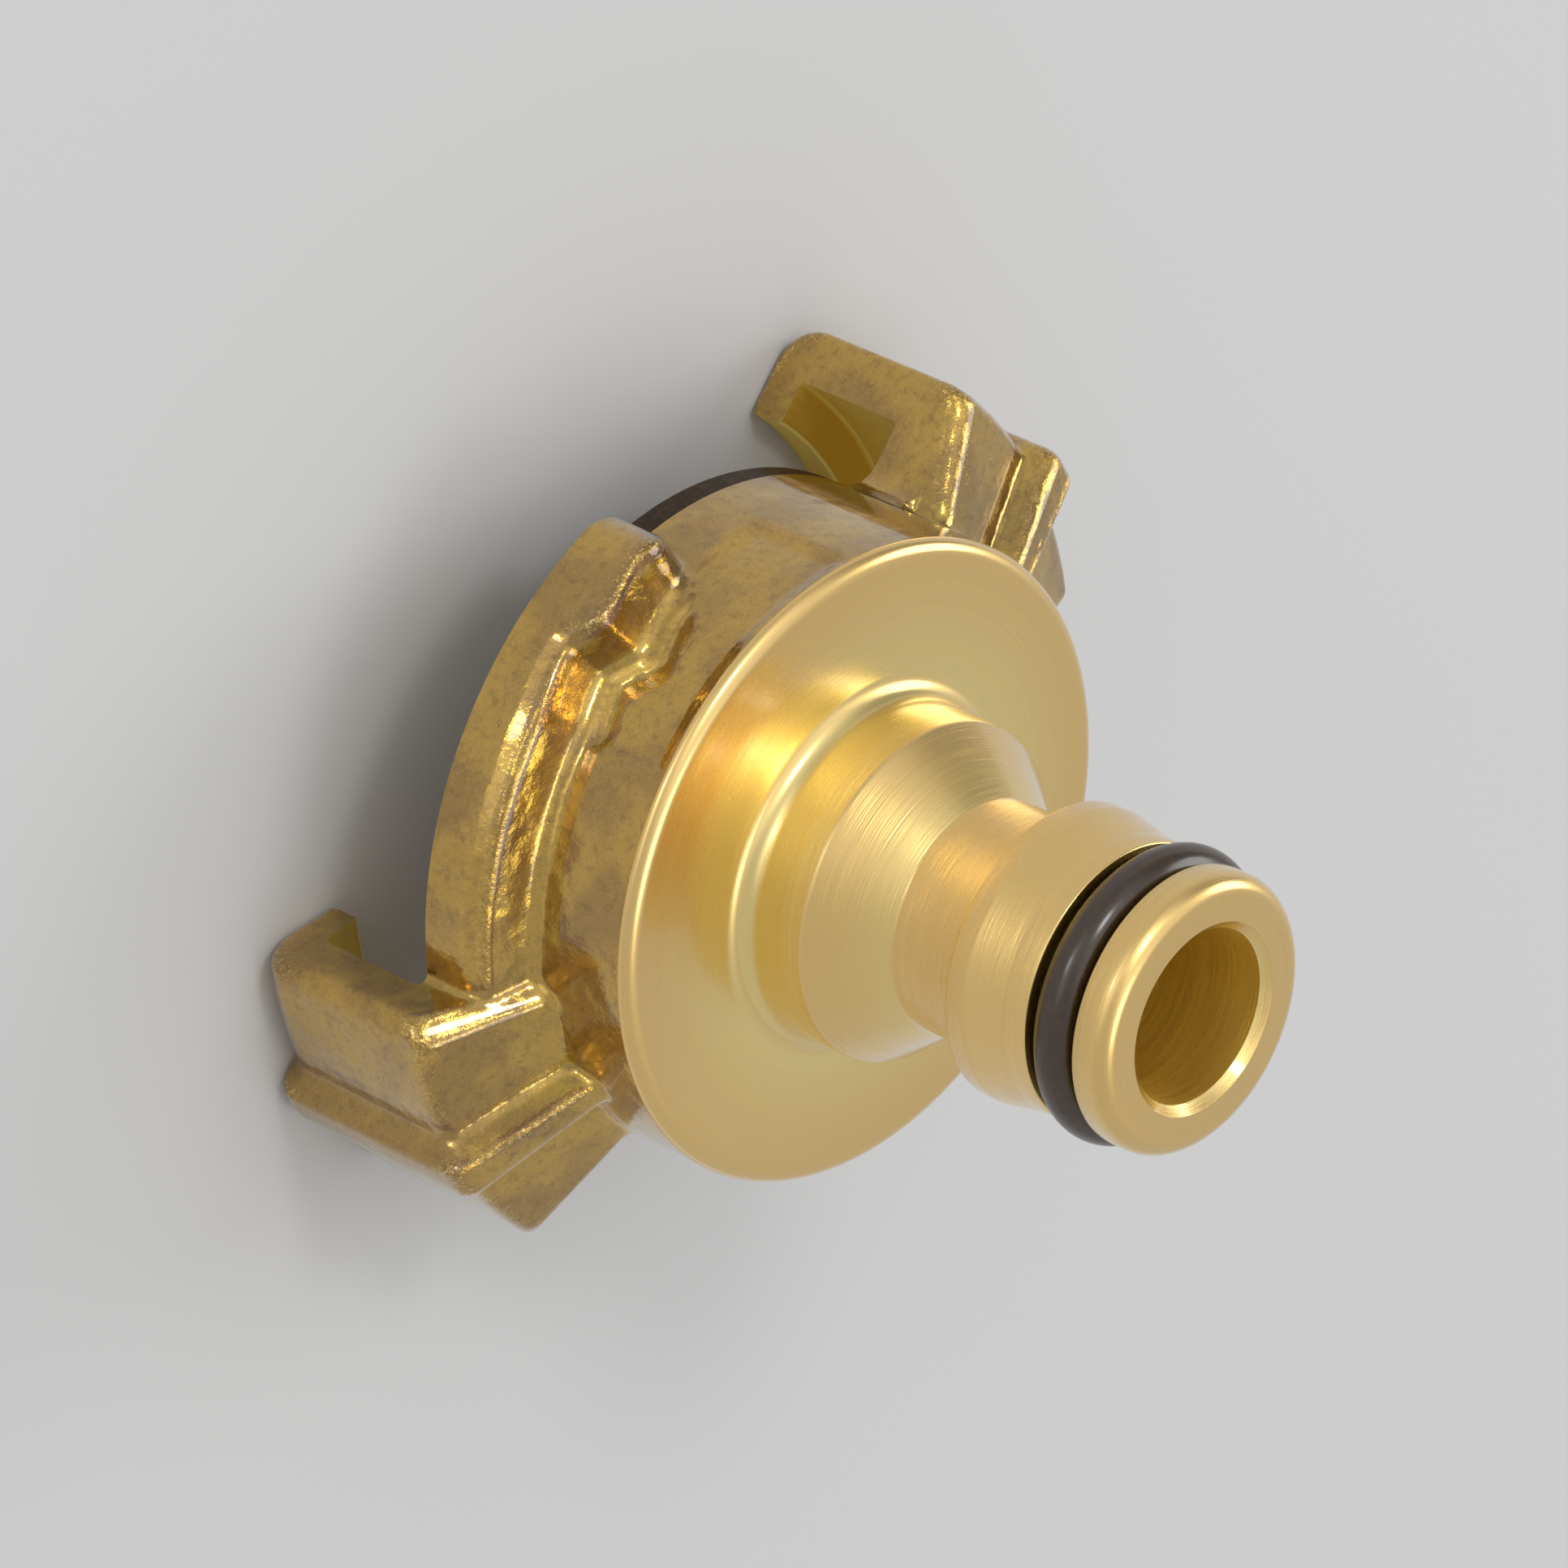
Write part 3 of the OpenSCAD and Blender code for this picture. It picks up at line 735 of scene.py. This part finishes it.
class Wiring:
    """Short calls for the nodes of one tree."""

    def __init__(self, tree):
        self.nodes, self.links = tree.nodes, tree.links

    def put(self, socket, value):
        """Links a socket to another one, or sets it to a number or colour."""
        if isinstance(value, bpy.types.NodeSocket):
            self.links.new(value, socket)
        else:
            socket.default_value = value

    def fill(self, kind, **values):
        """A new node with the named inputs filled."""
        node = self.nodes.new(kind)
        for label, value in values.items():
            self.put(node.inputs[label.replace("_", " ").title()], value)
        return node

    def math(self, way, *values):
        """The result of one Math node."""
        node = self.nodes.new("ShaderNodeMath")
        node.operation = way
        for socket, value in zip(node.inputs, values):
            self.put(socket, value)
        return node.outputs[0]

    def line(self, value, base, gain):
        """base + value * gain"""
        return self.math("ADD", base, self.math("MULTIPLY", value, gain))

    def total(self, *terms):
        """The sum of values, each times its share."""
        parts = [self.math("MULTIPLY", value, share) for value, share in terms]
        out = parts[0]
        for part in parts[1:]:
            out = self.math("ADD", out, part)
        return out

    def ramp(self, value, low, high, to_low=0.0, to_high=1.0):
        """A soft ramp from to_low to to_high, while the value goes from low to high."""
        node = self.fill("ShaderNodeMapRange", value=value, from_min=low, from_max=high,
                         to_min=to_low, to_max=to_high)
        node.interpolation_type = "SMOOTHSTEP"
        return node.outputs["Result"]

    def mix(self, share, a, b):
        """Colour a, with a share of colour b."""
        node = self.nodes.new("ShaderNodeMix")
        node.data_type = "RGBA"
        for label, value in (("Factor", share), ("A", a), ("B", b)):
            self.put(node.inputs[label], value)
        return node.outputs["Result"]

    def noise(self, vector, scale, detail, rough):
        """Soft noise from 0 to 1."""
        return self.fill("ShaderNodeTexNoise", vector=vector, scale=scale, detail=detail,
                         roughness=rough).outputs["Fac"]

    def cells(self, vector, scale):
        """Distance to the middle of a cell, and a number of the cell's own."""
        node = self.fill("ShaderNodeTexVoronoi", vector=vector, scale=scale)
        return node.outputs["Distance"], self.parts(node.outputs["Color"], "Color")[0]

    def parts(self, value, kind="XYZ"):
        """The single numbers of a vector or colour."""
        node = self.nodes.new("ShaderNodeSeparate" + kind)
        self.put(node.inputs[0], value)
        return node.outputs

    def place(self, scale=(1, 1, 1)):
        """Object coordinates times a scale, which is 1 for metres."""
        coordinates = self.nodes.new("ShaderNodeTexCoord")
        mapping = self.fill("ShaderNodeMapping", vector=coordinates.outputs["Object"], scale=scale)
        return mapping.outputs["Vector"]

    def attribute(self, name):
        """A value that is stored on the points of the mesh."""
        node = self.nodes.new("ShaderNodeAttribute")
        node.attribute_name = name
        return node.outputs["Fac"]

    def bump(self, height, depth):
        """A normal that shows the height as relief of that depth in millimetres."""
        return self.fill("ShaderNodeBump", height=height, distance=depth * MM,
                         strength=1.0).outputs["Normal"]

    def group(self, tree, **values):
        """The outputs of an effect group with the named inputs filled."""
        node = self.nodes.new("ShaderNodeGroup")
        node.node_tree = tree
        for label, value in values.items():
            self.put(node.inputs[label.replace("_", " ").capitalize()], value)
        return node.outputs


def grain_group():
    """Skin of a casting or forging: mottling, grain, pits, flow lines, waves and specks."""
    tree, given, result = effect_group(
        "metal skin",
        {"Mottle size": 0.9, "Grain size": 0.16, "Pit size": 1.3, "Pit share": 0.35,
         "Roughened": 0.0},
        ("Height", "Mottle", "Pits", "Broad", "Specks"))
    w = Wiring(tree)
    at = w.place()
    mottle = w.noise(at, w.math("DIVIDE", PER_M, given["Mottle size"]), detail=4, rough=0.6)
    grain = w.noise(at, w.math("DIVIDE", PER_M, given["Grain size"]), detail=2, rough=0.6)
    broad = w.noise(at, BROAD_DENSITY, detail=2, rough=0.5)
    waves = w.noise(at, WAVE_DENSITY, detail=1, rough=0.4)
    flow = w.noise(w.place(FLOW_DENSITY), 1.0, detail=3, rough=0.6)
    distance, lot = w.cells(at, w.math("DIVIDE", PER_M, given["Pit size"]))
    pit_r = w.math("MULTIPLY", w.math("SUBTRACT", given["Pit share"], lot), PIT_SPREAD)
    outside = w.ramp(w.math("SUBTRACT", distance, pit_r), *PIT_EDGE)
    pits = w.math("SUBTRACT", 1.0, outside)
    specks = w.cells(at, w.math("DIVIDE", PER_M * SPECK_DENSITY, given["Grain size"]))[1]
    height = w.total((mottle, MOTTLE_H),
                     (grain, w.line(given["Roughened"], GRAIN_H, GRAIN_WORN_H)),
                     (waves, WAVE_H), (flow, FLOW_H), (pits, -PIT_H))
    for label, value in (("Height", height), ("Mottle", mottle), ("Pits", pits),
                         ("Broad", broad), ("Specks", specks)):
        w.put(result[label], value)
    return tree


def lathe_group():
    """Lines that a turning tool leaves around the axis, on faces, cones and cylinders."""
    tree, given, result = effect_group(
        "lathe lines", {"Spacing": 0.12, "Waver": 0.3}, ("Height", "Bands"))
    w = Wiring(tree)
    x, y, z = w.parts(w.place((PER_M, PER_M, PER_M)))
    radius = w.math("SQRT", w.math("ADD", w.math("POWER", x, 2), w.math("POWER", y, 2)))
    along = w.total((radius, LINES_OUT), (z, LINES_UP))
    turn = w.math("ARCTAN2", y, x)
    round_x = w.math("MULTIPLY", w.math("COSINE", turn), given["Waver"])
    round_y = w.math("MULTIPLY", w.math("SINE", turn), given["Waver"])

    def lines(spacing, detail):
        """Noise that changes outwards and along the axis, and only a little around it."""
        at = w.fill("ShaderNodeCombineXYZ", x=w.math("DIVIDE", along, spacing),
                    y=round_x, z=round_y)
        return w.noise(at.outputs[0], 1.0, detail, rough=0.6)

    fine = lines(given["Spacing"], detail=3)
    broad = lines(w.math("MULTIPLY", given["Spacing"], BAND_SPACING), detail=1)
    w.put(result["Height"], w.math("ADD", fine, w.math("MULTIPLY", broad, BAND_H)))
    w.put(result["Bands"], broad)
    return tree


def finish(name, metallic):
    """A new material with its Principled shader, ready for wiring."""
    material = bpy.data.materials.new(name)
    material.use_nodes = True
    shader = material.node_tree.nodes["Principled BSDF"]
    shader.inputs["Metallic"].default_value = metallic
    return material, shader.inputs, Wiring(material.node_tree)


def varnish(look, weight, rough):
    """The thin clear skin of a finished casting, which whitens its highlights."""
    look["Coat Weight"].default_value = weight
    look["Coat Roughness"].default_value = rough
    look["Coat IOR"].default_value = VARNISH_IOR


def forged_brass(skin):
    """Forging skin: darker than turned metal, glossy, finely pitted; on rounded edges it has
    painted shade, and bright specks that stand partly for rubbed metal and partly for painted
    glints.
    """
    material, look, w = finish("forged_brass", 1.0)
    rub_and_shade, sheltered = w.attribute("edge_rub_and_shade"), w.attribute("sheltered")
    out = w.group(skin, mottle_size=0.6, grain_size=0.13, pit_size=0.8, pit_share=0.2,
                  roughened=rub_and_shade)
    broad, mottle, specks = out["Broad"], out["Mottle"], out["Specks"]
    dim, lit = w.ramp(specks, 0.35, 0.1), w.ramp(specks, 0.8, 0.95)
    layers = (
        # Olive in broad patches, and in sheltered places as a painted reflection, the yellower
        # colour of light thrown between brass surfaces
        (w.ramp(broad, 0.35, 0.65, 0.0, 0.4), SKIN_OLIVE),
        (w.ramp(sheltered, 0.05, 0.45), SKIN_OLIVE),
        # Dark in the other patches and in the mottling, and a little painted shade on rounded
        # edges
        (w.ramp(broad, 0.58, 0.4, 0.0, 0.42), SKIN_DARK),
        (w.ramp(mottle, 0.45, 0.75, 0.0, 0.5), SKIN_DARK),
        (w.math("MULTIPLY", rub_and_shade, 0.12), SKIN_DARK),
        # Dark and bright specks and dark pits; on rounded edges the dark specks add painted shade,
        # and the bright ones stand partly for rubbed metal, partly for painted glints
        (w.math("MULTIPLY", dim, w.line(rub_and_shade, 0.16, 0.45)), SKIN_DARK),
        (w.math("MULTIPLY", lit, w.line(rub_and_shade, 0.14, 0.9)), BRASS_PALE),
        (w.math("MULTIPLY", out["Pits"], 0.75), SKIN_DARK))
    tone = SKIN_BRASS
    for share, colour in layers:
        tone = w.mix(share, tone, colour)
    w.put(look["Base Color"], tone)
    w.put(look["Roughness"], w.ramp(mottle, *MOTTLE_RANGE, *FORGED_ROUGH))
    height = w.math("MULTIPLY", out["Height"], w.line(rub_and_shade, FLAT_RELIEF, WORN_RELIEF))
    w.put(look["Normal"], w.bump(height, SKIN_DEPTH))
    varnish(look, weight=1.0, rough=0.04)
    return material


def turned_brass(lathe):
    """Satin face and nose with fine lines around the axis."""
    material, look, w = finish("turned_brass", 1.0)
    out = w.group(lathe, spacing=0.09, waver=0.5)
    tone = w.mix(w.ramp(out["Bands"], 0.2, 0.8, 0.0, 0.5), BRASS_PALE, BRASS)
    # Sheltered places are tinted yellower: a painted reflection, the colour of light thrown back
    # and forth between brass surfaces
    tone = w.mix(w.ramp(w.attribute("sheltered"), 0.0, 0.25), tone, BRASS_REFLECTION_TINT)
    w.put(look["Base Color"], tone)
    w.put(look["Roughness"], w.ramp(out["Height"], *LINES_RANGE, *TURNED_ROUGH))
    z = w.parts(w.place((PER_M, PER_M, PER_M)))[2]
    on_nose = w.ramp(z, Z_FACE + NOSE_LINES_FROM, Z_FACE + NOSE_LINES_FULL)
    height = w.math("MULTIPLY", out["Height"], w.line(on_nose, FACE_LINES, NOSE_LINES))
    w.put(look["Normal"], w.bump(height, LATHE_DEPTH))
    varnish(look, weight=1.0, rough=0.12)
    look["Anisotropic"].default_value = 0.35
    tangent = w.nodes.new("ShaderNodeTangent")
    tangent.direction_type, tangent.axis = "RADIAL", "Z"
    w.put(look["Tangent"], tangent.outputs[0])
    return material


def bored_brass(lathe):
    """Groove, pocket and bore: coarser lines and a yellower tone, made paler than turned brass as
    painted light in these shaded hollows.
    """
    material, look, w = finish("bored_brass", 1.0)
    out = w.group(lathe, spacing=0.22, waver=0.8)
    w.put(look["Base Color"], w.mix(w.ramp(out["Bands"], 0.3, 0.7), BORE_BRASS_LIGHTENED, BORE_BANDS_LIGHTENED))
    w.put(look["Roughness"], w.ramp(out["Height"], *LINES_RANGE, *BORED_ROUGH))
    w.put(look["Normal"], w.bump(out["Height"], LATHE_DEPTH))
    return material


def rubber(name, skin, colour, dust, rough, shine):
    """Moulded rubber with a trace of dust and a soft shine."""
    material, look, w = finish(name, 0.0)
    out = w.group(skin, mottle_size=0.5, grain_size=0.08, pit_size=0.9, pit_share=0.08)
    w.put(look["Base Color"], w.mix(w.ramp(out["Mottle"], 0.4, 0.75, 0.0, 0.6), colour, dust))
    w.put(look["Roughness"], w.ramp(out["Mottle"], *MOTTLE_RANGE, *rough))
    look["Specular IOR Level"].default_value = 0.0
    varnish(look, weight=shine, rough=0.22)
    w.put(look["Normal"], w.bump(out["Height"], RUBBER_DEPTH))
    return material


SKIN = grain_group()
body = brass_body()
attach(body, "root")
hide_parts("coupling_body")

rubbers = {"form_seal": rubber("seal_rubber", SKIN, SEAL_RUBBER, SEAL_DUST, SEAL_ROUGH, 0.3),
           "nose_o_ring": rubber("ring_rubber", SKIN, RING_RUBBER, RING_DUST, RING_ROUGH, 1.0)}
for node, material in rubbers.items():
    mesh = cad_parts[node].data
    mesh.materials.clear()
    mesh.materials.append(material)


# Camera, floor and light
def camera():
    """Looks at the part from the photo's side, through a long lens."""
    turn = Matrix.Rotation(math.radians(CAMERA_TURN), 3, "Z")
    right, up, back = (Vector(axis) for axis in CAMERA_AXES)
    place = turn @ (right * CAMERA_PLACE[0] + up * CAMERA_PLACE[1] + back * CAMERA_PLACE[2])
    data = bpy.data.cameras.new("camera")
    data.lens, data.sensor_width = LENS, SENSOR_W
    data.clip_start, data.clip_end = CLIP
    obj = bpy.data.objects.new("camera", data)
    bpy.context.scene.collection.objects.link(obj)
    obj.matrix_world = (Matrix.Translation((place + Vector((0, 0, CAMERA_AIM_Z))) * MM)
                        @ Matrix((turn @ right, turn @ up, turn @ back)).transposed().to_4x4())
    bpy.context.scene.camera = obj


def floor():
    """Plain and pale, at the height of the lips on which the part stands."""
    bpy.ops.mesh.primitive_plane_add(size=FLOOR_SIZE, location=(0, 0, 0))
    obj = bpy.context.object
    obj.name = "floor"
    material, look, _ = finish("floor_paint", 0.0)
    look["Base Color"].default_value = FLOOR_GREY
    look["Roughness"].default_value = FLOOR_ROUGH
    obj.data.materials.append(material)


def lamp(name, place, size, watts):
    """A round panel that faces the part."""
    data = bpy.data.lights.new(name, "AREA")
    data.shape, data.size, data.energy = "DISK", size, watts
    obj = bpy.data.objects.new(name, data)
    bpy.context.scene.collection.objects.link(obj)
    obj.location = place
    obj.rotation_mode = "QUATERNION"
    obj.rotation_quaternion = (Vector(LAMP_AIM) - place).to_track_quat("-Z", "Y")


def bearing(azimuth, elevation):
    """The direction of a place in the studio, as a vector one metre long."""
    a, e = math.radians(azimuth), math.radians(elevation)
    return Vector((math.cos(a) * math.cos(e), math.sin(a) * math.cos(e), math.sin(e)))


def studio():
    """Pale walls with brighter and darker zones."""
    world = bpy.data.worlds.new("studio")
    bpy.context.scene.world = world
    world.use_nodes = True
    w = Wiring(world.node_tree)
    direction = w.nodes.new("ShaderNodeTexCoord").outputs["Generated"]
    level = WORLD_LEVEL
    for azimuth, elevation, core, reach, change in WORLD_ZONES:
        dot = w.nodes.new("ShaderNodeVectorMath")
        dot.operation = "DOT_PRODUCT"
        w.put(dot.inputs[0], direction)
        w.put(dot.inputs[1], bearing(azimuth, elevation))
        zone = w.ramp(dot.outputs["Value"],
                      math.cos(math.radians(reach)), math.cos(math.radians(core)))
        level = w.math("ADD", level, w.math("MULTIPLY", zone, change))
    w.put(w.nodes["Background"].inputs["Color"], level)


def lights():
    """The lamps, with the power that gives their panels the brightness asked for."""
    for name, azimuth, elevation, size, glow in LAMPS:
        lamp(name, bearing(azimuth, elevation), size, glow * math.pi * math.pi * (size / 2) ** 2)


bpy.context.scene.view_settings.view_transform = "Standard"
camera()
floor()
studio()
lights()
